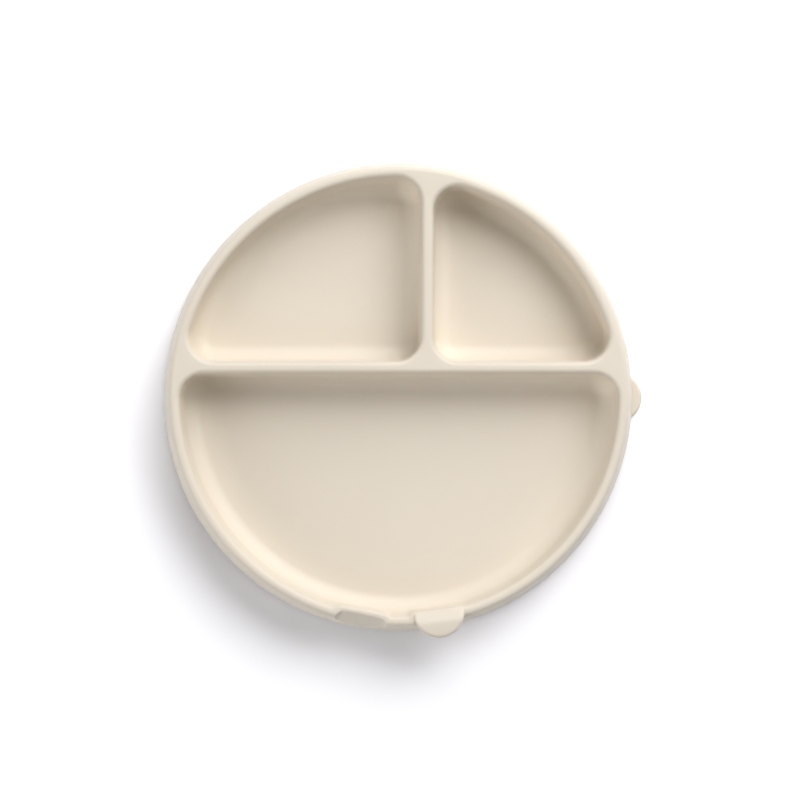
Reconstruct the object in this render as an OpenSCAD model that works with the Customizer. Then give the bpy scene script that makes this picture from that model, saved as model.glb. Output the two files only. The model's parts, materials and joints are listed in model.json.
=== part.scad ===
// Divided suction plate for a small child, moulded from silicone as one solid piece.
// A round dish with a wide straight-sided pocket in front and two smaller ones behind it,
// a lifting tab and a thumb recess side by side on the rim, and a suction foot underneath
// with a release tab on its edge.
// The plate stands on z = 0, the axis of its rim is the Z axis and -Y is the child's side.

/* [Plate] */
// Radius of the plate at the widest part of its side
plate_r = 96.8; // [82:0.1:115]
// Height of the rim above the table
plate_h = 27; // [22:0.5:36]
// Width of the rim between its outer side and the pocket walls
rim_w = 3.9; // [3.2:0.1:7]
// Radius of the rounding on the outside of the rim
rim_round = 2; // [0.6:0.1:3]
// Slope of the outer side, leaning in towards the rim, in degrees
side_slope = 9; // [4:0.5:12]
// Radius of the rounding under the outer side
belly_round = 1.6; // [0.5:0.1:2.5]

/* [Pockets] */
// Thickness of the pocket floors
floor_t = 3; // [2:0.1:5]
// Distance from the plate's axis to the middle of the long divider
long_divider_y = 11.6; // [-10:0.1:25]
// Distance from the plate's axis to the middle of the short divider
short_divider_x = 11.5; // [-20:0.1:20]
// Thickness of the dividers at the top
divider_t = 4.6; // [3:0.1:8]
// Slope of the pocket walls, leaning out towards the rim, in degrees
wall_slope = 4; // [1:0.5:6]
// Radius of the pocket corners, seen from above
corner_r = 10.2; // [8:0.1:14]
// Radius of the rounding between the walls and the floor
floor_round = 7; // [2:0.5:9]
// Radius of the rounding along the mouth of each pocket
mouth_round = 2; // [0.5:0.1:2.2]

/* [Lifting tab and thumb recess] */
// Thickness that the flat behind the tab adds to the pocket wall
tab_flat_t = 1.6; // [1.2:0.1:2]
// Turn of the flat behind the tab, out of line with the rim, in degrees
tab_flat_turn = -3; // [-4:0.5:4]
// Thickness that the flat behind the recess adds to the pocket wall
recess_flat_t = 2; // [1.2:0.1:2]
// Turn of the flat behind the recess, out of line with the rim, in degrees
recess_flat_turn = -1; // [-4:0.5:4]
// Depth of the flats' upper edge below the rim
flat_drop = 0.3; // [0.3:0.1:1]
// Radius of the rounding along the flats' upper edge
flat_round = 0.6; // [0.2:0.1:0.8]
// Direction of the lifting tab, counted from +X, in degrees
tab_angle = -79.6; // [-84:0.1:-60]
// Radius of the half-round lifting tab
tab_r = 10.4; // [7:0.1:12]
// Distance outwards from the flat to the middle of the tab's round edge
tab_inset = 1.3; // [0:0.1:3]
// Thickness of the lifting tab
tab_t = 2.8; // [2:0.1:4]
// Width of the tab's slope, which rises from the flat to the ridge
tab_slope_w = 4.8; // [3:0.1:7]
// Height of the ridge above the rim
tab_rise = 1.8; // [1:0.1:2.2]
// Droop of the tab from the ridge to its tip, in degrees
tab_droop = 7; // [0:1:12]
// Direction of the thumb recess, counted from +X, in degrees
recess_angle = -99.7; // [-120:0.1:-96]
// Length of the thumb recess along the rim
recess_l = 20; // [12:0.2:22]
// Thickness of the lip that is left between the recess and the pocket
recess_lip = 2.2; // [0.8:0.1:3]
// Depth of the recess at the outer side
recess_h = 8; // [4:0.5:12]
// Radius of the recess corners, seen from above
recess_corner_r = 3; // [1:0.1:4]

/* [Suction foot] */
// Radius of the suction foot
foot_r = 92; // [75:0.5:94]
// Thickness of the foot's flange at its edge
flange_t = 1.6; // [1:0.1:2.5]
// Height of the groove between the flange and the outer side
groove_h = 1.6; // [1:0.1:3]
// Depth of the groove, inwards from the edge of the flange
groove_depth = 5; // [2:0.5:8]
// Width of the flat ring that seals on the table
seal_w = 3.5; // [2:0.5:6]
// Height of the hollow under the plate
cup_h = 2.4; // [1:0.1:3.5]
// Width of the slope between the sealing ring and the hollow's flat top
cup_slope_w = 14; // [6:1:30]
// Direction of the release tab, counted from +X, in degrees
release_angle = 0; // [-60:1:60]
// Radius of the half-round release tab
release_r = 10; // [6:0.2:12]
// Thickness of the release tab
release_t = 2; // [1.2:0.1:3]

/* [Hidden] */
$fn = 144;
silicone = [0.90, 0.85, 0.77];

// How far a cut reaches past the surface that it opens, and pieces of a cut into each other
over = 2;
// How far the corners of a pocket stand behind its sides, so that the two meet on one line
seam = 0.01;

floor_z = cup_h + floor_t;
depth = plate_h - floor_z;
belly_z = flange_t + groove_h;
groove_r = foot_r - groove_depth;

// Width that a rounding takes off the top of a wall of the given slope, for a radius of 1
function rounding_w(slope) = (1 - sin(slope)) / cos(slope);

// Narrowest flat strip that is left on top of the rim and the dividers, and inside the
// rounding at the pocket floors
strip_w = 0.3;
rim_r = plate_r - belly_round
    + (belly_round - (plate_h - belly_z - belly_round) * sin(side_slope)) / cos(side_slope);
mouth_r = rim_r - rim_w;
mouth_edge = min(mouth_round, (divider_t - strip_w) / 2 / rounding_w(wall_slope));
mouth_w = mouth_edge * rounding_w(wall_slope);
rim_edge = min(rim_round, (rim_w - mouth_w - strip_w) / rounding_w(side_slope));

// The pocket outline rolls round a core that is smaller by the corner radius all round,
// so the rounding at the floor can be no larger than the corners let it be
core_r = mouth_r - corner_r;
floor_edge = min(floor_round,
    (corner_r - strip_w - depth * tan(wall_slope))
        / (cos(wall_slope) - tan(wall_slope) * (1 - sin(wall_slope))));

// Distance outwards from the core to the pocket wall at height z
function wall_x(z) = corner_r - (plate_h - z) * tan(wall_slope);

// Distance from the axis to the outer side at the foot of the recess
recess_r = rim_r + recess_h * tan(side_slope);

// Slope at which the ends of the flats run out into the round wall, in degrees
run_out = 32;

// Where the line y = k or x = k leaves the core's circle
function reach(k) = sqrt(core_r * core_r - k * k);

core_left = short_divider_x - divider_t / 2 - corner_r;
core_right = short_divider_x + divider_t / 2 + corner_r;
core_back = long_divider_y + divider_t / 2 + corner_r;
core_front = long_divider_y - divider_t / 2 - corner_r;

// Corners of each pocket's core, counter-clockwise, starting where its round side starts
left_pocket = [[core_left, reach(core_left)], [-reach(core_back), core_back],
    [core_left, core_back]];
right_pocket = [[reach(core_back), core_back], [core_right, reach(core_right)],
    [core_right, core_back]];
front_pocket = [[-reach(core_front), core_front], [reach(core_front), core_front]];

// An angle brought into the range from 0 to 360 degrees
function turn(a) = a - 360 * floor(a / 360);

function heading(p) = atan2(p[1], p[0]);

// Section of a pocket outwards from its core: floor, rounding, sloped wall and mouth.
// It laps over the core, where x is below 0.
module pocket_section() {
    low_z = floor_z + floor_edge * (1 - sin(wall_slope));
    low_x = wall_x(low_z);
    floor_x = low_x - floor_edge * cos(wall_slope);
    lip_z = plate_h - mouth_edge + 2 * seam;
    high_z = lip_z + mouth_edge * sin(wall_slope);
    high_x = wall_x(high_z);
    lip_x = high_x + mouth_edge * cos(wall_slope);
    top_z = plate_h + seam;
    top_x = lip_x - sqrt(mouth_edge * mouth_edge - (top_z - lip_z) * (top_z - lip_z));
    difference() {
        union() {
            polygon([[-over, floor_z], [floor_x, floor_z], [low_x, low_z], [high_x, high_z],
                [lip_x, lip_z], [top_x, top_z], [top_x, plate_h + over],
                [-over, plate_h + over]]);
            intersection() {
                translate([floor_x, floor_z + floor_edge]) circle(floor_edge);
                translate([-over, floor_z]) square([corner_r + over, depth]);
            }
        }
        translate([lip_x, lip_z]) circle(mouth_edge);
    }
}

// Straight side of a pocket between two corners of its core
module straight_side(from, to) {
    run = to - from;
    translate(from) rotate(heading(run)) rotate([90, 0, 90])
        linear_extrude(norm(run)) mirror([1, 0]) pocket_section();
}

// The room inside one pocket, ready to be cut out of the plate
module pocket_room(core) {
    sides = len(core);
    start = turn(heading(core[0]));
    sweep = turn(heading(core[1]) - start);
    translate([0, 0, floor_z]) linear_extrude(depth + over) intersection() {
        circle(core_r);
        polygon([for (a = [0:0.25:1])
            3 * core_r * [cos(start + a * sweep), sin(start + a * sweep)],
            for (i = [1:sides]) core[i % sides]]);
    }
    rotate_extrude(angle = sweep, start = start)
        translate([core_r, 0]) pocket_section();
    for (i = [1:sides - 1]) straight_side(core[i], core[(i + 1) % sides]);
    for (corner = core) translate(corner) rotate_extrude() intersection() {
        translate([seam, 0]) pocket_section();
        square([2 * corner_r, plate_h + over]);
    }
}

// Section of the body from the axis outwards, with the flange and hollow of the foot
module body_section() {
    rim_x = rim_r - rim_edge * rounding_w(side_slope);
    rim_z = plate_h - rim_edge;
    belly_x = plate_r - belly_round;
    belly_top = belly_z + belly_round;
    seal_r = foot_r - flange_t / 2;
    union() {
        polygon([
            [0, cup_h],
            [seal_r - seal_w - cup_slope_w, cup_h],
            [seal_r - seal_w, 0],
            [seal_r, 0],
            [seal_r, flange_t],
            [groove_r, flange_t],
            [groove_r, belly_z],
            [belly_x, belly_z],
            [belly_x + belly_round * cos(side_slope), belly_top + belly_round * sin(side_slope)],
            [rim_x + rim_edge * cos(side_slope), rim_z + rim_edge * sin(side_slope)],
            [rim_x, plate_h],
            [0, plate_h]]);
        translate([seal_r, flange_t / 2]) circle(flange_t / 2);
        translate([belly_x, belly_top]) circle(belly_round);
        translate([rim_x, rim_z]) circle(rim_edge);
    }
}

// Disc with a rounded edge, lying with its underside on z = 0
module pad(r, t) {
    edge = t / 2;
    rotate_extrude() {
        square([r - edge, t]);
        translate([r - edge, edge]) circle(edge);
    }
}

// Places a piece at the middle of a flat of thickness t, with x outwards
module at_flat(angle, t, turn) {
    rotate(angle) translate([mouth_r - t, 0, 0]) rotate(turn) children();
}

// Section of a piece outwards from the flat, drawn out along the flat
module along_flat(length) {
    translate([0, length / 2, 0]) rotate([90, 0, 0]) linear_extrude(length) children();
}

// Flat that thickens the pocket wall by t, from the floor up to just below the rim
module wall_flat(length, t) {
    low_z = floor_z - floor_t / 2;
    top_z = plate_h - flat_drop;
    depth_x = t + mouth_w / 2;
    taper = depth_x / tan(run_out);
    intersection() {
        translate([0, 0, low_z - over]) linear_extrude(plate_h)
            polygon([[0, -length / 2], [depth_x, -length / 2 - taper],
                [depth_x, length / 2 + taper], [0, length / 2]]);
        along_flat(length + 2 * taper + over) {
            translate([0, low_z]) square([2 * depth_x, top_z - flat_round - low_z]);
            translate([flat_round, low_z]) square([2 * depth_x, top_z - low_z]);
            translate([flat_round, top_z - flat_round]) circle(flat_round);
        }
    }
}

// Half-round tab that rises from the flat to a ridge above the rim and droops to its tip
module lifting_tab() {
    rise = tab_rise / (tab_slope_w - flat_round);
    translate([0, 0, plate_h]) intersection() {
        translate([tab_slope_w, 0, tab_rise]) rotate([0, tab_droop, 0])
            translate([tab_inset - tab_slope_w, 0, -tab_t]) pad(tab_r, tab_t);
        along_flat(3 * tab_r) polygon([[flat_round, -2 * tab_t], [flat_round, 0],
            [2 * tab_r, rise * (2 * tab_r - flat_round)], [2 * tab_r, -2 * tab_t]]);
    }
}

// Room for a thumb beside the tab, cut out of the rim down to a sloped face
module thumb_recess() {
    out = recess_r - mouth_r + recess_flat_t;
    translate([0, 0, plate_h]) intersection() {
        translate([recess_lip, 0, -recess_h]) linear_extrude(recess_h + over) {
            for (side = [-1, 1])
                translate([recess_corner_r, side * (recess_l / 2 - recess_corner_r)])
                    circle(recess_corner_r);
            translate([0, recess_corner_r - recess_l / 2])
                square([plate_r, recess_l - 2 * recess_corner_r]);
            translate([recess_corner_r, -recess_l / 2]) square([plate_r, recess_l]);
        }
        along_flat(2 * recess_l) polygon([[0, 0], [recess_lip, 0], [out, -recess_h],
            [plate_r, -recess_h], [plate_r, over], [0, over]]);
    }
}

// Half-round tab on the edge of the foot, pulled up to let air under the plate
module release_tab() {
    rotate(release_angle) translate([foot_r - flange_t / 2, 0, 0]) difference() {
        pad(release_r, release_t);
        translate([-2 * release_r, -release_r - over, -over])
            cube([2 * release_r, 2 * (release_r + over), release_t + 2 * over]);
    }
}

module plate() {
    color(silicone) {
        difference() {
            union() {
                difference() {
                    rotate_extrude() body_section();
                    pocket_room(left_pocket);
                    pocket_room(right_pocket);
                    pocket_room(front_pocket);
                }
                at_flat(recess_angle, recess_flat_t, recess_flat_turn)
                    wall_flat(recess_l, recess_flat_t);
                at_flat(tab_angle, tab_flat_t, tab_flat_turn)
                    wall_flat(2 * tab_r, tab_flat_t);
            }
            at_flat(recess_angle, recess_flat_t, recess_flat_turn) thumb_recess();
        }
        at_flat(tab_angle, tab_flat_t, tab_flat_turn) lifting_tab();
        release_tab();
    }
}

plate();
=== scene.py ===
# %% [markdown]
# A divided suction plate, cast in one shot of cream silicone. It has a round rim, a wide pocket in
# front, two smaller ones behind it, a lifting tab and a thumb recess side by side on the rim, and
# a suction foot underneath. The frame gives the CAD model; this lesson builds the same form again
# as a smooth, finely divided skin and gives it its finish.

import json
import math

import bmesh
import bpy
from mathutils import Matrix, Vector

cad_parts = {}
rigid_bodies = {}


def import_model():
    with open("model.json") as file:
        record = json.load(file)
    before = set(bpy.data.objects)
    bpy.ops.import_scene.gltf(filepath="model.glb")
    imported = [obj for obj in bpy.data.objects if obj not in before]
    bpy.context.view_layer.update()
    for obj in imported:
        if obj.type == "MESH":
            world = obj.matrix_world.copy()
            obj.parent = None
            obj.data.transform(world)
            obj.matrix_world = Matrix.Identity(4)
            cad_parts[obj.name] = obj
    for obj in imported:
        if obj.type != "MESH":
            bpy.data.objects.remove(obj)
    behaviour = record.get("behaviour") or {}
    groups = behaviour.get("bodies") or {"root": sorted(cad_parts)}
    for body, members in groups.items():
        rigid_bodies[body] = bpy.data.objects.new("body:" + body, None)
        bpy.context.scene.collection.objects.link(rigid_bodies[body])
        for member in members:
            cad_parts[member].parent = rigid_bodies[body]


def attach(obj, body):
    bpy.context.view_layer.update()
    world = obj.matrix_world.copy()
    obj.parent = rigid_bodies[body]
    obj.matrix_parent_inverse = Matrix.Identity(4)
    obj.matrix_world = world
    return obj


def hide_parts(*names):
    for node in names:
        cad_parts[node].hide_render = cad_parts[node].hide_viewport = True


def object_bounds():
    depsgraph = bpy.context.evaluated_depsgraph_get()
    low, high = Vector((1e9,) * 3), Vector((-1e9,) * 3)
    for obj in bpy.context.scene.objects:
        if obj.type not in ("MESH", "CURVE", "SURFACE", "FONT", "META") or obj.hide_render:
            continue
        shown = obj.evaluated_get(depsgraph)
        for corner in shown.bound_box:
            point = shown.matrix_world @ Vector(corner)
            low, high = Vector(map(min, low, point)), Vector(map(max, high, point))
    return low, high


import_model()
cad_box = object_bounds()
MM = 0.001
print("CAD box in mm:", [[round(v / MM, 1) for v in corner] for corner in cad_box])

# %% [markdown]
# The camera comes first. The photograph looks straight down from a little over a metre, on a stand
# that leans slightly to the left and to the front, so a little more of the plate's side shows
# there. The focal length is worked out from the width of the view at the height of the rim, so the
# plate fills the picture as it does in the photograph.

# %% Set up the camera
PLATE_H = 27.0
CAMERA_DISTANCE = 1100.0
VIEW_WIDTH = 324.8
VIEW_CENTRE = (0.32, -1.58)
LEAN = (-0.8, -0.9)
SENSOR = 36.0


def set_camera():
    """Camera above the plate, leaning by LEAN degrees along X and Y, with +Y at the top"""
    data = bpy.data.cameras.new("camera")
    data.sensor_width = SENSOR
    data.lens = SENSOR * CAMERA_DISTANCE / VIEW_WIDTH
    camera = bpy.data.objects.new("camera", data)
    bpy.context.scene.collection.objects.link(camera)
    back = Vector([math.tan(math.radians(a)) for a in LEAN] + [1]).normalized()
    right = Vector((0, 1, 0)).cross(back).normalized()
    aim = Vector((*VIEW_CENTRE, PLATE_H))
    camera.location = (aim + back * CAMERA_DISTANCE) * MM
    camera.rotation_euler = Matrix((right, back.cross(right), back)).transposed().to_euler()
    bpy.context.scene.camera = camera
    print("lens", round(data.lens, 1), "mm")


set_camera()

# %% [markdown]
# Every size of the plate is a named value in millimetres. The round outside and the pockets are
# both made by rolling one section along a path, so the sizes describe sections: heights, wall
# slopes and the radii of the roundings.

# %% Name the sizes of the plate
PLATE_R = -cad_box[0].x / MM
SIDE_SLOPE = 9.0
RIM_W = 3.9
RIM_ROUND = 2.0
BELLY_ROUND = 1.6

FLOOR_Z = 5.4
LONG_DIVIDER_Y = 11.6
SHORT_DIVIDER_X = 11.5
DIVIDER_T = 4.6
WALL_SLOPE = 4.0
CORNER_R = 10.2
FLOOR_ROUND = 7.0
MOUTH_ROUND = 2.0

FOOT_R = 92.0
FLANGE_T = 1.6
BELLY_Z = 3.2
GROOVE_R = 87.0
SEAL_W = 3.5
CUP_H = 2.4
CUP_SLOPE_W = 14.0
FOOT_ROUND = 0.79
GROOVE_ROUND = 0.4
SEAL_ROUND = 2.0
CUP_ROUND = 20.0

lean = math.radians(SIDE_SLOPE)
belly_top = BELLY_Z + BELLY_ROUND
RIM_R = (PLATE_R - BELLY_ROUND
         + (BELLY_ROUND - (PLATE_H - belly_top) * math.sin(lean)) / math.cos(lean))
MOUTH_R = RIM_R - RIM_W
CORE_R = MOUTH_R - CORNER_R
print("rim radius", round(RIM_R, 2), "pocket mouth radius", round(MOUTH_R, 2))

# %% [markdown]
# A section is a line of corners, each with the radius that rounds it. A rounding is a rational
# quadratic curve: with the cosine of half the turn as its weight it is an exact arc of a circle.
# Where the line runs straight on, the same curve just spaces its points evenly, so two sections
# that differ in shape can have the same number of points and be blended.

# %% Round the corners of a section
STRAIGHT_ON = 0.01


def rounded_line(corners, steps=8):
    """Points along (x, z, radius) corners; where the line runs straight, radius is their reach"""
    line = [Vector(corners[0][:2])]
    for before, corner, after in zip(corners, corners[1:], corners[2:]):
        here = Vector(corner[:2])
        back = (Vector(before[:2]) - here).normalized()
        ahead = (Vector(after[:2]) - here).normalized()
        half_turn = (math.pi - back.angle(ahead)) / 2
        reach = corner[2] * (math.tan(half_turn) if half_turn > STRAIGHT_ON else 1)
        weight = math.cos(half_turn)
        for i in range(steps + 1):
            t = i / steps
            parts = ((1 - t) ** 2, 2 * t * (1 - t) * weight, t * t)
            ends = (here + back * reach, here, here + ahead * reach)
            total = sum(parts)
            line.append(sum((p * e for p, e in zip(parts, ends)), Vector((0, 0))) / total)
    return line + [Vector(corners[-1][:2])]


def wall_x(z):
    """Distance outwards from the core of a pocket to its wall"""
    return CORNER_R - (PLATE_H - z) * math.tan(math.radians(WALL_SLOPE))


def side_x(z):
    """Distance from the axis to the outer side"""
    return RIM_R + (PLATE_H - z) * math.tan(math.radians(SIDE_SLOPE))


# %% [markdown]
# The tree that rolls a section is Geometry Nodes, because the pockets and the outside all follow
# the same rule: a point of the skin stands at a point of the path, moved outwards by the section's
# x and up by its z. A grid gives one vertex for each pair of path point and section point. The
# path carries three attributes: the outward direction, how far the section has changed into its
# second shape, and how far the wall bulges in. The last two let the thumb recess into the rim and
# flatten the wall behind it.

# %% Build the tree that rolls a section along a path
def node_maker(tree):
    """A short way to add a node and set its properties and plain inputs"""
    def make(kind, inputs=None, **settings):
        node = tree.nodes.new(kind)
        for name, value in settings.items():
            setattr(node, name, value)
        for key, value in (inputs or {}).items():
            if isinstance(value, bpy.types.NodeSocket):
                tree.links.new(value, node.inputs[key])
            else:
                node.inputs[key].default_value = value
        return node
    return make


def rolled_section_tree():
    """Geometry Nodes tree that turns a path and a section into a skin"""
    tree = bpy.data.node_groups.new("Rolled section", "GeometryNodeTree")
    sockets = tree.interface
    sockets.new_socket("Geometry", in_out="OUTPUT", socket_type="NodeSocketGeometry")
    sockets.new_socket("Path", in_out="INPUT", socket_type="NodeSocketObject")
    sockets.new_socket("Section", in_out="INPUT", socket_type="NodeSocketObject")
    weld = sockets.new_socket("Weld distance", in_out="INPUT", socket_type="NodeSocketFloat")
    weld.default_value = 0.001 * MM
    sockets.new_socket("Material", in_out="INPUT", socket_type="NodeSocketMaterial")
    make = node_maker(tree)
    given = make("NodeGroupInput").outputs
    geometry, count = {}, {}
    for name in ("Path", "Section"):
        info = make("GeometryNodeObjectInfo", {"Object": given[name]})
        geometry[name] = info.outputs["Geometry"]
        size = make("GeometryNodeAttributeDomainSize", {"Geometry": geometry[name]})
        count[name] = size.outputs["Point Count"]

    grid = make("GeometryNodeMeshGrid",
                {"Vertices X": count["Path"], "Vertices Y": count["Section"]})
    index = make("GeometryNodeInputIndex").outputs[0]
    along = make("ShaderNodeMath", {0: index, 1: count["Section"]}, operation="DIVIDE")
    along = make("ShaderNodeMath", {0: along.outputs[0]}, operation="FLOOR").outputs[0]
    across = make("ShaderNodeMath", {0: index, 1: count["Section"]}, operation="MODULO").outputs[0]

    def sample(source, at, value, kind="FLOAT_VECTOR"):
        node = make("GeometryNodeSampleIndex", {"Geometry": geometry[source], "Index": at},
                    data_type=kind, domain="POINT")
        tree.links.new(value, node.inputs["Value"])
        return node.outputs["Value"]

    def named(name, kind="FLOAT_VECTOR"):
        return make("GeometryNodeInputNamedAttribute", {"Name": name},
                    data_type=kind).outputs["Attribute"]

    position = make("GeometryNodeInputPosition").outputs[0]
    core = sample("Path", along, position)
    outward = sample("Path", along, named("outward"))
    change = sample("Path", along, named("change", "FLOAT"), "FLOAT")
    bulge = sample("Path", along, named("bulge", "FLOAT"), "FLOAT")
    first = sample("Section", across, position)
    second = sample("Section", across, named("second"))
    push = sample("Section", across, named("push", "FLOAT"), "FLOAT")
    shape = make("ShaderNodeMix", {0: change, 4: first, 5: second}, data_type="VECTOR")
    shape = make("ShaderNodeSeparateXYZ", {0: shape.outputs[1]})
    pushed = make("ShaderNodeMath", {0: bulge, 1: push}, operation="MULTIPLY").outputs[0]
    out = make("ShaderNodeMath", {0: shape.outputs["X"], 1: pushed}, operation="SUBTRACT")
    aside = make("ShaderNodeVectorMath", {0: outward}, operation="SCALE")
    tree.links.new(out.outputs[0], aside.inputs["Scale"])
    up = make("ShaderNodeCombineXYZ", {"Z": shape.outputs["Z"]})
    place = make("ShaderNodeVectorMath", {0: core, 1: aside.outputs[0]}, operation="ADD")
    place = make("ShaderNodeVectorMath", {0: place.outputs[0], 1: up.outputs[0]}, operation="ADD")
    skin = make("GeometryNodeSetPosition",
                {"Geometry": grid.outputs["Mesh"], "Position": place.outputs[0]})
    skin = make("GeometryNodeMergeByDistance",
                {"Geometry": skin.outputs[0], "Distance": given["Weld distance"]})
    skin = make("GeometryNodeRealizeInstances", {"Geometry": skin.outputs[0]})
    skin = make("GeometryNodeSetMaterial",
                {"Geometry": skin.outputs[0], "Material": given["Material"]})
    make("NodeGroupOutput", {"Geometry": skin.outputs[0]})
    print("tree", tree.name, "has", len(tree.nodes), "nodes")
    return tree


ROLLED = rolled_section_tree()

# %% [markdown]
# The tree reads its path and its section from two small helper meshes that hold only points. The
# result is turned into a plain mesh at once, and the helpers are removed.

# %% Make the helper meshes of points
def point_mesh(name, points, **attributes):
    """Object of loose points with extra attributes, which are vectors or plain numbers"""
    mesh = bpy.data.meshes.new(name)
    mesh.from_pydata([p * MM for p in points], [], [])
    for key, values in attributes.items():
        if isinstance(values[0], Vector):
            layer = mesh.attributes.new(key, "FLOAT_VECTOR", "POINT")
            layer.data.foreach_set("vector", [c for v in values for c in v])
        else:
            layer = mesh.attributes.new(key, "FLOAT", "POINT")
            layer.data.foreach_set("value", values)
    thing = bpy.data.objects.new(name, mesh)
    bpy.context.scene.collection.objects.link(thing)
    return thing


# %% Roll a section into a plain mesh
def roll(name, path, section, second=None, push=None):
    """Plain mesh of a section rolled along a path of (point, outward angle, change, bulge) steps"""
    angles = [math.radians(step[1]) for step in path]
    path_points = point_mesh(
        name + " path", [Vector((*step[0], 0)) for step in path],
        outward=[Vector((math.cos(a), math.sin(a), 0)) for a in angles],
        change=[float(step[2]) for step in path], bulge=[step[3] * MM for step in path])
    section_points = point_mesh(
        name + " section", [Vector((p.x, 0, p.y)) for p in section],
        second=[Vector((p.x, 0, p.y)) * MM for p in (second or section)],
        push=push or [0.0] * len(section))
    holder = bpy.data.objects.new(name, bpy.data.meshes.new(name))
    bpy.context.scene.collection.objects.link(holder)
    modifier = holder.modifiers.new("roll", "NODES")
    modifier.node_group = ROLLED
    sockets = {s.name: s.identifier for s in ROLLED.interface.items_tree if s.in_out == "INPUT"}
    modifier[sockets["Path"]] = path_points
    modifier[sockets["Section"]] = section_points
    evaluated = holder.evaluated_get(bpy.context.evaluated_depsgraph_get())
    mesh = bpy.data.meshes.new_from_object(evaluated)
    for thing in (holder, path_points, section_points):
        bpy.data.objects.remove(thing)
    print(name, "skin:", len(mesh.vertices), "vertices")
    return mesh


# %% [markdown]
# Each pocket is rolled round a core, which is the pocket's outline less the corner radius all
# round. On the round side the path follows the core's arc, on a straight side it needs only the
# two ends, and at a corner it stays on one point while the outward direction turns.

# %% Lay the path of each pocket
ARC_STEP = 1.0
FINE_STEP = 0.1
FINE_ANGLES = (250.0, 290.0)
SAME_ANGLE = 0.05
CORNER_STEPS = 24


def fan(start, end):
    """Angles from start to end, close together where the tab and the recess are"""
    stops = {start, end}
    stops.update(a * ARC_STEP for a in range(math.ceil(start / ARC_STEP), int(end / ARC_STEP) + 1))
    low, high = FINE_ANGLES
    fine = int((high - low) / FINE_STEP)
    stops.update(a for a in (low + i * FINE_STEP for i in range(fine + 1)) if start < a < end)
    ordered = sorted(stops)
    return [ordered[0]] + [b for a, b in zip(ordered, ordered[1:]) if b - a > SAME_ANGLE]


def pocket_path(core, shape_at=lambda angle: (0.0, 0.0)):
    """Steps round a pocket: the arc from core[0] to core[1], then each corner and straight side"""
    start, end = [math.degrees(math.atan2(p.y, p.x)) % 360 for p in core[:2]]
    end += 360 if end < start else 0
    arc = [(CORE_R * Vector((math.cos(math.radians(a)), math.sin(math.radians(a)))), a,
            *shape_at(a)) for a in fan(start, end)]
    steps, facing = arc, end
    corners = core[1:] + core[:1]
    for i, corner in enumerate(corners):
        if i + 1 < len(corners):
            run = corners[i + 1] - corner
            target = math.degrees(math.atan2(run.y, run.x)) - 90
        else:
            target = start
        turn = (target - facing) % 360
        steps += [(corner, facing + turn * k / CORNER_STEPS, 0.0, 0.0)
                  for k in range(1, CORNER_STEPS + 1)]
        facing += turn
    return steps


# %% Find the corners of each pocket's core
def reach(k):
    """Where the line x = k or y = k leaves the core's circle"""
    return math.sqrt(CORE_R ** 2 - k ** 2)


left = SHORT_DIVIDER_X - DIVIDER_T / 2 - CORNER_R
right = SHORT_DIVIDER_X + DIVIDER_T / 2 + CORNER_R
back = LONG_DIVIDER_Y + DIVIDER_T / 2 + CORNER_R
front = LONG_DIVIDER_Y - DIVIDER_T / 2 - CORNER_R
CORES = {
    "left pocket": ((left, reach(left)), (-reach(back), back), (left, back)),
    "right pocket": ((reach(back), back), (right, reach(right)), (right, back)),
    "front pocket": ((-reach(front), front), (reach(front), front)),
}
for name, core in CORES.items():
    CORES[name] = [Vector(point) for point in core]
    print(name, "core:", [tuple(round(c, 1) for c in point) for point in core])

# %% [markdown]
# At the front the rim changes twice. Behind the thumb recess and behind the lifting tab the round
# wall runs straight for a stretch, so that the rim is wide enough for them. The path carries that
# as a bulge, by which the wall is pushed in: fully at the rim, not at all at the floor. The recess
# itself is a blend of two sections, the plain rim and one with a thin lip at the pocket and a face
# that falls steeply to the outside. The blend goes from none to full over about a millimetre at
# each end, which gives the recess the soft ends that a round cutter leaves in a mould.

# %% Name the sizes of the flats and the thumb recess
FLAT_RUN_OUT = 32.0
FLAT_CORNER = 1.6
FLAT_SOFT = 0.4
FULL_LIP_BULGE = 1.2
RECESS_ANGLE = 260.3
RECESS_L = 20.0
RECESS_H = 8.0
RECESS_CORNER_R = 3.0
RECESS_SOFT = (1.8, 0.6)
RECESS_END = 0.15
RECESS_FOOT = 1.2
RECESS_LEAN = 0.5
LIP_X = 2.8
LIP_ROUND = 0.7
LIP_SLOPE_ROUND = 1.2
RECESS_LIP = 0.45
TAB_ANGLE = 280.4
TAB_R = 10.4
FLATS = {"recess": (RECESS_ANGLE, RECESS_L / 2, 2.0, -1.0), "tab": (TAB_ANGLE, TAB_R, 1.6, -3.0)}
print("flats (middle, half length, thickness, turn):", FLATS)


# %% Say how the rim changes along the front
def smooth(t):
    """From 0 to 1 with a soft start and a soft end"""
    t = min(max(t, 0), 1)
    return t * t * (3 - 2 * t)


def hinge(t, soft):
    """Nothing below 0 and t above it, with the corner rounded over the given width"""
    return (t + math.hypot(t, soft)) / 2


def bulge_at(angle):
    """How far the pocket wall stands in at an angle, for the flats behind the recess and the tab"""
    bulge = 0.0
    for middle, half, thickness, turn in FLATS.values():
        a = math.radians(angle - middle)
        wall = Vector((MOUTH_R * math.cos(a) - MOUTH_R + thickness, MOUTH_R * math.sin(a)))
        wall.rotate(Matrix.Rotation(math.radians(-turn), 2))
        past = hinge(abs(wall.y) - half, FLAT_CORNER)
        bulge = max(bulge, hinge(wall.x - past * math.tan(math.radians(FLAT_RUN_OUT)), FLAT_SOFT))
    return bulge


def along_recess(angle):
    """Distance along the rim from the middle of the recess"""
    return math.radians(angle - RECESS_ANGLE) * MOUTH_R


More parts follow.
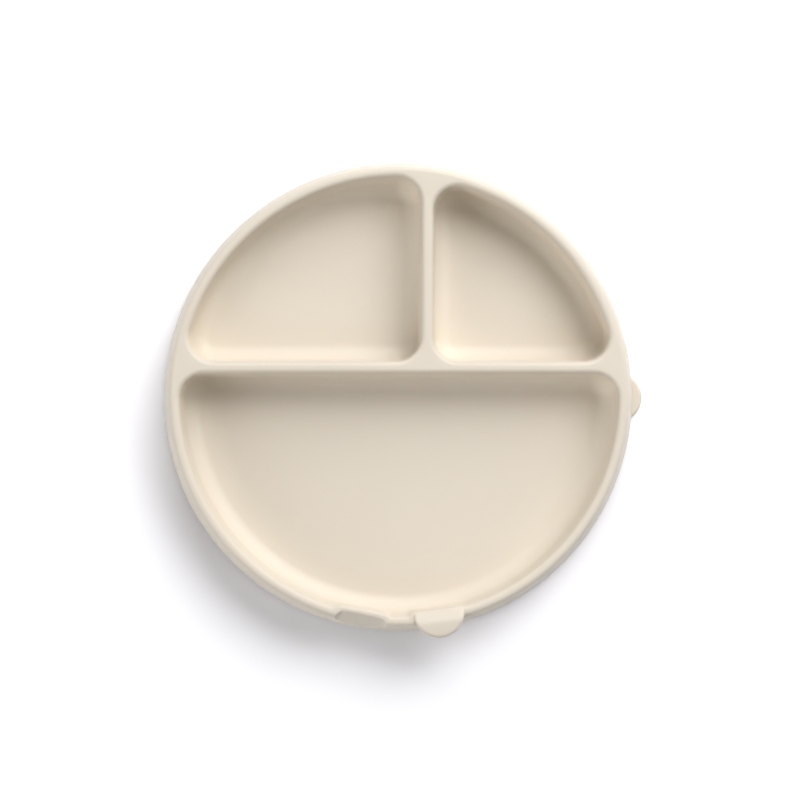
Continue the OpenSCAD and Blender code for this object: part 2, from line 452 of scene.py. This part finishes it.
def recess_at(angle):
    """How far the rim has changed into the recess at an angle, with round corners in plan"""
    along = along_recess(angle)
    change = 1.0
    for inside, soft in zip((along + RECESS_L / 2, RECESS_L / 2 - along), RECESS_SOFT):
        t = min(max(inside / RECESS_CORNER_R, 0), 1)
        corner = RECESS_END + (1 - RECESS_END) * math.sqrt(1 - (1 - t) ** 2)
        change *= smooth(inside / soft / 2 + 0.5) * corner
    return change


def rise_share(points, low):
    """How far up each point is, from 0 at the given height to 1 at the rim"""
    return [min(max((p.y - low) / (PLATE_H - low), 0), 1) for p in points]


# %% Draw the sections of a pocket
LEAD = 2.5
POCKET_STEPS = 12
POCKET = [(-LEAD, FLOOR_Z, 0), (wall_x(FLOOR_Z), FLOOR_Z, FLOOR_ROUND),
          (CORNER_R, PLATE_H, MOUTH_ROUND), (CORNER_R + LEAD, PLATE_H, 0)]
LIPPED = POCKET[:2] + [(CORNER_R, PLATE_H, LIP_ROUND), POCKET[3]]
pocket_line, lipped_line = [rounded_line(corners, POCKET_STEPS)[1:-1]
                            for corners in (POCKET, LIPPED)]
wall_push = rise_share(lipped_line, FLOOR_Z)
print("a pocket's section has", len(pocket_line), "points")

# %% Draw the sections of the outside
EVEN_REACH = 1.0
SEAL_X = FOOT_R - FLANGE_T / 2 - SEAL_W
UNDER = [(side_x(BELLY_Z), BELLY_Z, BELLY_ROUND), (GROOVE_R, BELLY_Z, GROOVE_ROUND),
         (GROOVE_R, FLANGE_T, GROOVE_ROUND), (FOOT_R, FLANGE_T, FOOT_ROUND),
         (FOOT_R, 0, FOOT_ROUND), (SEAL_X, 0, SEAL_ROUND),
         (SEAL_X - CUP_SLOPE_W, CUP_H, CUP_ROUND), (0, CUP_H, 0)]
recess_z = PLATE_H - RECESS_H
recess_foot = (side_x(recess_z), recess_z)
RIM = [(RIM_R - RIM_W, PLATE_H, 0), (RIM_R, PLATE_H, RIM_ROUND), (*recess_foot, EVEN_REACH)]
CUT = [(MOUTH_R, PLATE_H, 0), (MOUTH_R + LIP_X, PLATE_H, LIP_SLOPE_ROUND),
       (*recess_foot, RECESS_FOOT)]
rim_line, cut_line = [rounded_line(corners + UNDER)[1:] for corners in (RIM, CUT)]
cut_push = rise_share(cut_line, recess_z)
print("the outside's section has", len(rim_line), "points")

# %% [markdown]
# Now the tree rolls the real pieces: one skin for each pocket, and one for everything from the
# crest of the rim round the side and the foot to the middle of the underside. Only the front
# pocket and the outside change along their path.

# %% Roll the three pockets and the outside
def front_shape(angle):
    """Change and bulge of the front pocket's wall; the recess's lip is rounder than the tab's"""
    bulge = bulge_at(angle)
    sharp = 1.0 if angle > (RECESS_ANGLE + TAB_ANGLE) / 2 else RECESS_LIP
    return sharp * smooth(bulge / FULL_LIP_BULGE), bulge


def rim_shape(angle):
    """Change and bulge of the outside; the recess is a little deeper at its left end"""
    share = min(max(0.5 - along_recess(angle) / RECESS_L, 0), 1)
    return recess_at(angle), (bulge_at(angle) + RECESS_LEAN * share) * recess_at(angle)


skins = [roll("front pocket", pocket_path(CORES["front pocket"], front_shape),
              pocket_line, lipped_line, wall_push)]
skins += [roll(name, pocket_path(CORES[name]), pocket_line)
          for name in ("left pocket", "right pocket")]
around = [(Vector((0, 0)), angle, *rim_shape(angle)) for angle in fan(0.0, 360.0)]
skins.append(roll("outside", around, rim_line, cut_line, cut_push))

# %% [markdown]
# The skins are sewn together by two flat fills: a floor in each pocket, and the crest, one flat
# ribbon that runs along the rim and the dividers between the four open edges.

# %% Sew the skins into one closed body
def open_loops(bm):
    """Closed chains of the edges that have only one face, in the same order each run"""
    todo = dict.fromkeys(e for e in bm.edges if e.is_boundary)
    loops = []
    while todo:
        chain, stack = [], [next(iter(todo))]
        while stack:
            edge = stack.pop()
            if edge in todo:
                del todo[edge]
                chain.append(edge)
                stack += [e for v in edge.verts for e in v.link_edges if e in todo]
        loops.append(chain)
    return loops


def sew(skins):
    """One mesh of all the skins, with the pocket floors and the crest filled in"""
    bm = bmesh.new()
    for mesh in skins:
        bm.from_mesh(mesh)
        bpy.data.meshes.remove(mesh)
    middle = (FLOOR_Z + PLATE_H) / 2 * MM
    crest = []
    for loop in open_loops(bm):
        low = max(v.co.z for e in loop for v in e.verts) < middle
        if low:
            bmesh.ops.contextual_create(bm, geom=loop)
        else:
            crest += loop
    bmesh.ops.triangle_fill(bm, edges=crest, use_beauty=True, normal=(0, 0, 1))
    bmesh.ops.recalc_face_normals(bm, faces=bm.faces)
    left_open = sum(not e.is_manifold for e in bm.edges)
    print("body:", len(bm.faces), "faces,", left_open, "open or doubled edges")
    return bm


body = sew(skins)
plate_mesh = bpy.data.meshes.new("plate_body")
body.to_mesh(plate_mesh)
body.free()
plate = bpy.data.objects.new("plate_silicone", plate_mesh)
bpy.context.scene.collection.objects.link(plate)

# %% [markdown]
# The lifting tab on the rim and the release tab at the foot are thin round tongues, there to be
# pulled. Each is a disc with a rounded edge, rolled by the same tree and cut straight where it
# meets the plate. The lifting tab is bent as well: it climbs off the rim to a soft ridge and
# droops from there, so a finger finds its edge. A Boolean union joins both to the body, which
# stays one closed skin, as the real plate is one casting.

# %% Name the sizes of the tabs
TAB_T = 2.8
TAB_INSET = 1.3
TAB_RIDGE_X = 4.8
TAB_RISE = 2.4
TAB_DROOP = 7.0
TAB_LIFT = 0.2
TAB_SOFT = 1.1
RELEASE_R = 10.0
RELEASE_T = 2.0
RELEASE_ROOT = 2.0
print("tabs: radius", TAB_R, "and", RELEASE_R, "mm, thickness", TAB_T, "and", RELEASE_T, "mm")


# %% Make the mesh of a tab
def pad_mesh(name, radius, thickness, back_x, bend=lambda x: 0.0, steps=120, rings=24, rounds=6):
    """Disc with a rounded edge and its top on z = 0, cut straight at x = back_x, then bent"""
    edge = thickness / 2
    across = [(radius - edge) * i / rings for i in range(rings)]
    section = [Vector((x, 0)) for x in across]
    section += [Vector((radius - edge + edge * math.sin(a), edge * math.cos(a) - edge))
                for a in (math.pi * i / (2 * rounds) for i in range(2 * rounds + 1))]
    section += [Vector((x, -thickness)) for x in reversed(across)]
    path = [(Vector((0, 0)), 360 * i / steps, 0.0, 0.0) for i in range(steps + 1)]
    mesh = roll(name, path, section)
    bm = bmesh.new()
    bm.from_mesh(mesh)
    cut = bmesh.ops.bisect_plane(
        bm, geom=bm.verts[:] + bm.edges[:] + bm.faces[:], plane_co=(back_x * MM, 0, 0),
        plane_no=(-1, 0, 0), clear_outer=True)
    rim = [e for e in cut["geom_cut"] if isinstance(e, bmesh.types.BMEdge)]
    bmesh.ops.contextual_create(bm, geom=rim)
    for vertex in bm.verts:
        vertex.co.z += bend(vertex.co.x / MM) * MM
    bmesh.ops.recalc_face_normals(bm, faces=bm.faces)
    bm.to_mesh(mesh)
    bm.free()
    return mesh


def tongue_bend(x):
    """Height of the lifting tab's top, x outwards from the middle of its round edge"""
    past = x + TAB_INSET - TAB_RIDGE_X
    rise = TAB_RISE / (TAB_RIDGE_X - LIP_ROUND)
    return (TAB_RISE + TAB_LIFT - rise * hinge(-past, TAB_SOFT)
            - math.tan(math.radians(TAB_DROOP)) * hinge(past, TAB_SOFT))


# %% Join both tabs to the plate
def join_tab(mesh, place):
    """Unites a tab with the plate"""
    mesh.transform(place)
    tab = bpy.data.objects.new(mesh.name, mesh)
    bpy.context.scene.collection.objects.link(tab)
    modifier = plate.modifiers.new("tab", "BOOLEAN")
    modifier.operation = "UNION"
    modifier.solver = "MANIFOLD"
    modifier.object = tab
    evaluated = plate.evaluated_get(bpy.context.evaluated_depsgraph_get())
    joined = bpy.data.meshes.new_from_object(evaluated)
    plate.modifiers.clear()
    plate.data = joined
    bpy.data.objects.remove(tab)
    print(mesh.name, "joined:", len(joined.polygons), "faces")


def placed(angle, radius, height, turn=0.0, x=0.0):
    """Where a piece goes: out from the axis, turned on its place, then moved outwards by x"""
    return (Matrix.Rotation(math.radians(angle), 4, "Z")
            @ Matrix.Translation(Vector((radius, 0, height)) * MM)
            @ Matrix.Rotation(math.radians(turn), 4, "Z")
            @ Matrix.Translation(Vector((x, 0, 0)) * MM))


join_tab(pad_mesh("lifting_tab", TAB_R, TAB_T, LIP_ROUND - TAB_INSET, tongue_bend),
         placed(TAB_ANGLE, MOUTH_R - FLATS["tab"][2], PLATE_H, FLATS["tab"][3], TAB_INSET))
join_tab(pad_mesh("release_tab", RELEASE_R, RELEASE_T, -RELEASE_ROOT),
         placed(0.0, FOOT_R - FLANGE_T / 2, RELEASE_T))

# %% [markdown]
# Smooth shading hides the facets, but where the mould has a real corner the shading has to break.
# Every edge that turns more sharply than a rounding's own facets do is marked as sharp.

# %% Shade the skin smooth, with crisp edges only where the mould has them
CRISP = 32.0
plate.data.shade_smooth()
bm = bmesh.new()
bm.from_mesh(plate.data)
for edge in bm.edges:
    edge.smooth = edge.calc_face_angle(0) < math.radians(CRISP)
triangles = sum(len(f.verts) - 2 for f in bm.faces)
print("plate:", triangles, "triangles,", sum(not e.is_manifold for e in bm.edges), "bad edges")
bm.to_mesh(plate.data)
bm.free()

# %% [markdown]
# The real plate is silicone cured in a steel mould. The mould's blasted face leaves a fine dull
# grain on everything that the hand touches, while the foot is moulded against polished steel,
# because only a smooth ring seals on a table. Both finishes use one node group, which puts out
# what varies over the surface: a faint unevenness of the tone, a rare speck in the silicone, the
# grain as a height, and the roughness. What is the same all over stays on each shader. The
# patterns read Object coordinates, which are metres here, so a scale of 100 means a pattern of
# about a centimetre.

# %% Build the node group of moulded silicone
TONE_SIZE = 0.045
SPECK_SPACING = 0.0125
SPECK_SHARE = 0.035
SPECK_R = 0.0003
GRAIN_SIZE = 0.0006
RIPPLE_SIZE = 0.009


def moulded_silicone_group():
    """Shader node group that puts out a colour, a roughness and a height"""
    tree = bpy.data.node_groups.new("Moulded silicone", "ShaderNodeTree")
    sockets = tree.interface
    for name, kind, value in (("Colour", "NodeSocketColor", (0.8, 0.72, 0.62, 1)),
                              ("Speck colour", "NodeSocketColor", (0.5, 0.42, 0.33, 1)),
                              ("Tone variation", "NodeSocketFloat", 0.03),
                              ("Roughness", "NodeSocketFloat", 0.5),
                              ("Roughness variation", "NodeSocketFloat", 0.06),
                              ("Grain", "NodeSocketFloat", 1.0),
                              ("Ripple", "NodeSocketFloat", 1.0)):
        sockets.new_socket(name, in_out="INPUT", socket_type=kind).default_value = value
    sockets.new_socket("Colour", in_out="OUTPUT", socket_type="NodeSocketColor")
    sockets.new_socket("Roughness", in_out="OUTPUT", socket_type="NodeSocketFloat")
    sockets.new_socket("Height", in_out="OUTPUT", socket_type="NodeSocketFloat")
    make = node_maker(tree)
    given = make("NodeGroupInput").outputs
    place = make("ShaderNodeTexCoord").outputs["Object"]

    def noise(size, detail=2.0):
        """Noise of about the given size in metres, from -0.5 to 0.5"""
        node = make("ShaderNodeTexNoise", {"Vector": place, "Scale": 1 / size, "Detail": detail})
        return math_node("SUBTRACT", node.outputs["Fac"], 0.5)

    def math_node(operation, *values):
        return make("ShaderNodeMath", dict(enumerate(values)), operation=operation).outputs[0]

    tone = math_node("MULTIPLY_ADD", noise(TONE_SIZE), given["Tone variation"], 1.0)
    colour = make("ShaderNodeVectorMath", {0: given["Colour"]}, operation="SCALE")
    tree.links.new(tone, colour.inputs["Scale"])
    cells = make("ShaderNodeTexVoronoi", {"Vector": place, "Scale": 1 / SPECK_SPACING})
    near = math_node("LESS_THAN", cells.outputs["Distance"], SPECK_R / SPECK_SPACING)
    chance = make("ShaderNodeSeparateColor", {0: cells.outputs["Color"]}).outputs[0]
    speck = math_node("MULTIPLY", near, math_node("LESS_THAN", chance, SPECK_SHARE))
    mixed = make("ShaderNodeMix", {0: speck, 6: colour.outputs[0], 7: given["Speck colour"]},
                 data_type="RGBA")
    rough = math_node("MULTIPLY_ADD", noise(TONE_SIZE / 2), given["Roughness variation"],
                      given["Roughness"])
    grain = math_node("MULTIPLY", noise(GRAIN_SIZE), given["Grain"])
    height = math_node("MULTIPLY_ADD", noise(RIPPLE_SIZE, 1.0), given["Ripple"], grain)
    make("NodeGroupOutput", {"Colour": mixed.outputs[2], "Roughness": rough, "Height": height})
    print("group", tree.name, "has", len(tree.nodes), "nodes")
    return tree


MOULDED = moulded_silicone_group()

# %% [markdown]
# Silicone lets a little light in and spreads it under the skin, more of the red than of the blue,
# which softens the shading of thin edges. The shader's subsurface inputs do that, and its index of
# refraction is that of silicone. Both finishes have one colour and differ in roughness and grain.

# %% Make the matt finish and the polished one
CREAM = (0.753, 0.682, 0.58, 1)
SPECK = (0.50, 0.42, 0.32, 1)


def silicone(name, roughness, grain, ripple, bump_height):
    """Cream silicone; the heights say how deep the mould's face is"""
    material = bpy.data.materials.new(name)
    material.use_nodes = True
    tree = material.node_tree
    shader = tree.nodes["Principled BSDF"]
    make = node_maker(tree)
    skin = make("ShaderNodeGroup", node_tree=MOULDED)
    for key, value in {"Colour": CREAM, "Speck colour": SPECK, "Roughness": roughness,
                       "Grain": grain, "Ripple": ripple}.items():
        skin.inputs[key].default_value = value
    bump = make("ShaderNodeBump", {"Height": skin.outputs["Height"], "Distance": bump_height * MM})
    tree.links.new(skin.outputs["Colour"], shader.inputs["Base Color"])
    tree.links.new(skin.outputs["Roughness"], shader.inputs["Roughness"])
    tree.links.new(bump.outputs["Normal"], shader.inputs["Normal"])
    shader.inputs["IOR"].default_value = 1.41
    shader.inputs["Subsurface Weight"].default_value = 0.08
    shader.inputs["Subsurface Radius"].default_value = (1.0, 0.7, 0.45)
    shader.inputs["Subsurface Scale"].default_value = 1.5 * MM
    return material


matt = silicone("matt_silicone", 0.5, 1.0, 1.0, 0.03)
polished = silicone("polished_silicone", 0.24, 0.0, 0.6, 0.03)
plate.data.materials.clear()
plate.data.materials.append(matt)
plate.data.materials.append(polished)
print("finishes:", [material.name for material in plate.data.materials])

# %% [markdown]
# The polished steel makes only the inside of the foot: the ring that seals on the table and the
# hollow within it. Those are the faces that look down, inside the foot's edge and lower than the
# groove.

# %% Give the sealing ring and the hollow the polished finish
POLISHED_TOP = CUP_H + 0.1
FACING_DOWN = -0.5
seal_edge = (FOOT_R - FLANGE_T / 2) * MM
for face in plate.data.polygons:
    inside = face.center.xy.length < seal_edge and face.center.z < POLISHED_TOP * MM
    face.material_index = int(inside and face.normal.z < FACING_DOWN)
print("polished faces:", sum(f.material_index for f in plate.data.polygons))

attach(plate, "root")
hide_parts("plate")

# %% [markdown]
# The plate stands on plain white paper that the camera sees a little brighter than it is, so the
# open paper is white while the shadow stays. Light Path tells the paper's material which rays see
# it: the camera's and those of reflections get the brighter colour, and the light that bounces up
# on the plate keeps the plain one.

# %% Lay the floor
FLOOR_HALF = 3.0
PAPER = (0.92, 0.93, 0.95, 1)
PAPER_SEEN = (1.195, 1.19, 1.235, 1)


def seen_directly(make):
    """1 for rays from the camera, a reflection or a see-through surface, and 0 for bounced light"""
    path = make("ShaderNodeLightPath").outputs
    first = make("ShaderNodeMath", {0: path["Is Camera Ray"], 1: path["Is Glossy Ray"]},
                 operation="MAXIMUM").outputs[0]
    return make("ShaderNodeMath", {0: first, 1: path["Is Transmission Ray"]},
                operation="MAXIMUM").outputs[0]


def paper():
    """Diffuse white that is a little brighter where it is seen directly"""
    material = bpy.data.materials.new("white_paper")
    material.use_nodes = True
    tree = material.node_tree
    tree.nodes.clear()
    make = node_maker(tree)
    colour = make("ShaderNodeMix", {0: seen_directly(make), 6: PAPER, 7: PAPER_SEEN},
                  data_type="RGBA")
    surface = make("ShaderNodeBsdfDiffuse", {"Color": colour.outputs[2]})
    make("ShaderNodeOutputMaterial", {"Surface": surface.outputs[0]})
    return material


def floor():
    """A large square of paper at the height of the table"""
    half = FLOOR_HALF
    mesh = bpy.data.meshes.new("floor")
    mesh.from_pydata([(-half, -half, 0), (half, -half, 0), (half, half, 0), (-half, half, 0)],
                     [], [(0, 1, 2, 3)])
    thing = bpy.data.objects.new("floor", mesh)
    bpy.context.scene.collection.objects.link(thing)
    mesh.materials.append(paper())




floor()
print("floor:", 2 * FLOOR_HALF, "m wide")

# %% [markdown]
# Four soft lamps light the plate. A large softbox behind it and a smaller one more to the right
# are the key: they rake across the pocket walls and leave the shadow at the front left. A fill
# opposite them and a weak lamp at the right keep the walls that face away from going dark. The
# room adds a little light from everywhere, and is white where the camera or a reflection sees it.

# %% Light it
def lamp(name, azimuth, elevation, distance, size, watts):
    """Round area lamp that looks at the plate"""
    data = bpy.data.lights.new(name, "AREA")
    data.shape = "DISK"
    data.size = size
    data.energy = watts
    light = bpy.data.objects.new(name, data)
    bpy.context.scene.collection.objects.link(light)
    a, e = math.radians(azimuth), math.radians(elevation)
    place = Vector((math.cos(a) * math.cos(e), math.sin(a) * math.cos(e), math.sin(e))) * distance
    light.location = place
    light.rotation_euler = place.to_track_quat("Z", "Y").to_euler()
    print(name, watts, "W at azimuth", azimuth, "and elevation", elevation)


lamp("large_key", 71, 38, 2.0, 2.1, 39)
lamp("small_key", 42, 50, 2.0, 1.3, 14)
lamp("fill", 212, 27, 2.0, 1.6, 20)
lamp("side", 330, 35, 2.0, 1.0, 4)

# %% Light the room
ROOM = 0.03
world = bpy.data.worlds.new("studio")
world.use_nodes = True
make = node_maker(world.node_tree)
level = make("ShaderNodeMapRange", {"Value": seen_directly(make), "To Min": ROOM, "To Max": 1.0})
background = world.node_tree.nodes["Background"]
background.inputs["Color"].default_value = (1, 1, 1, 1)
world.node_tree.links.new(level.outputs[0], background.inputs["Strength"])
bpy.context.scene.world = world
bpy.context.scene.view_settings.view_transform = "Standard"
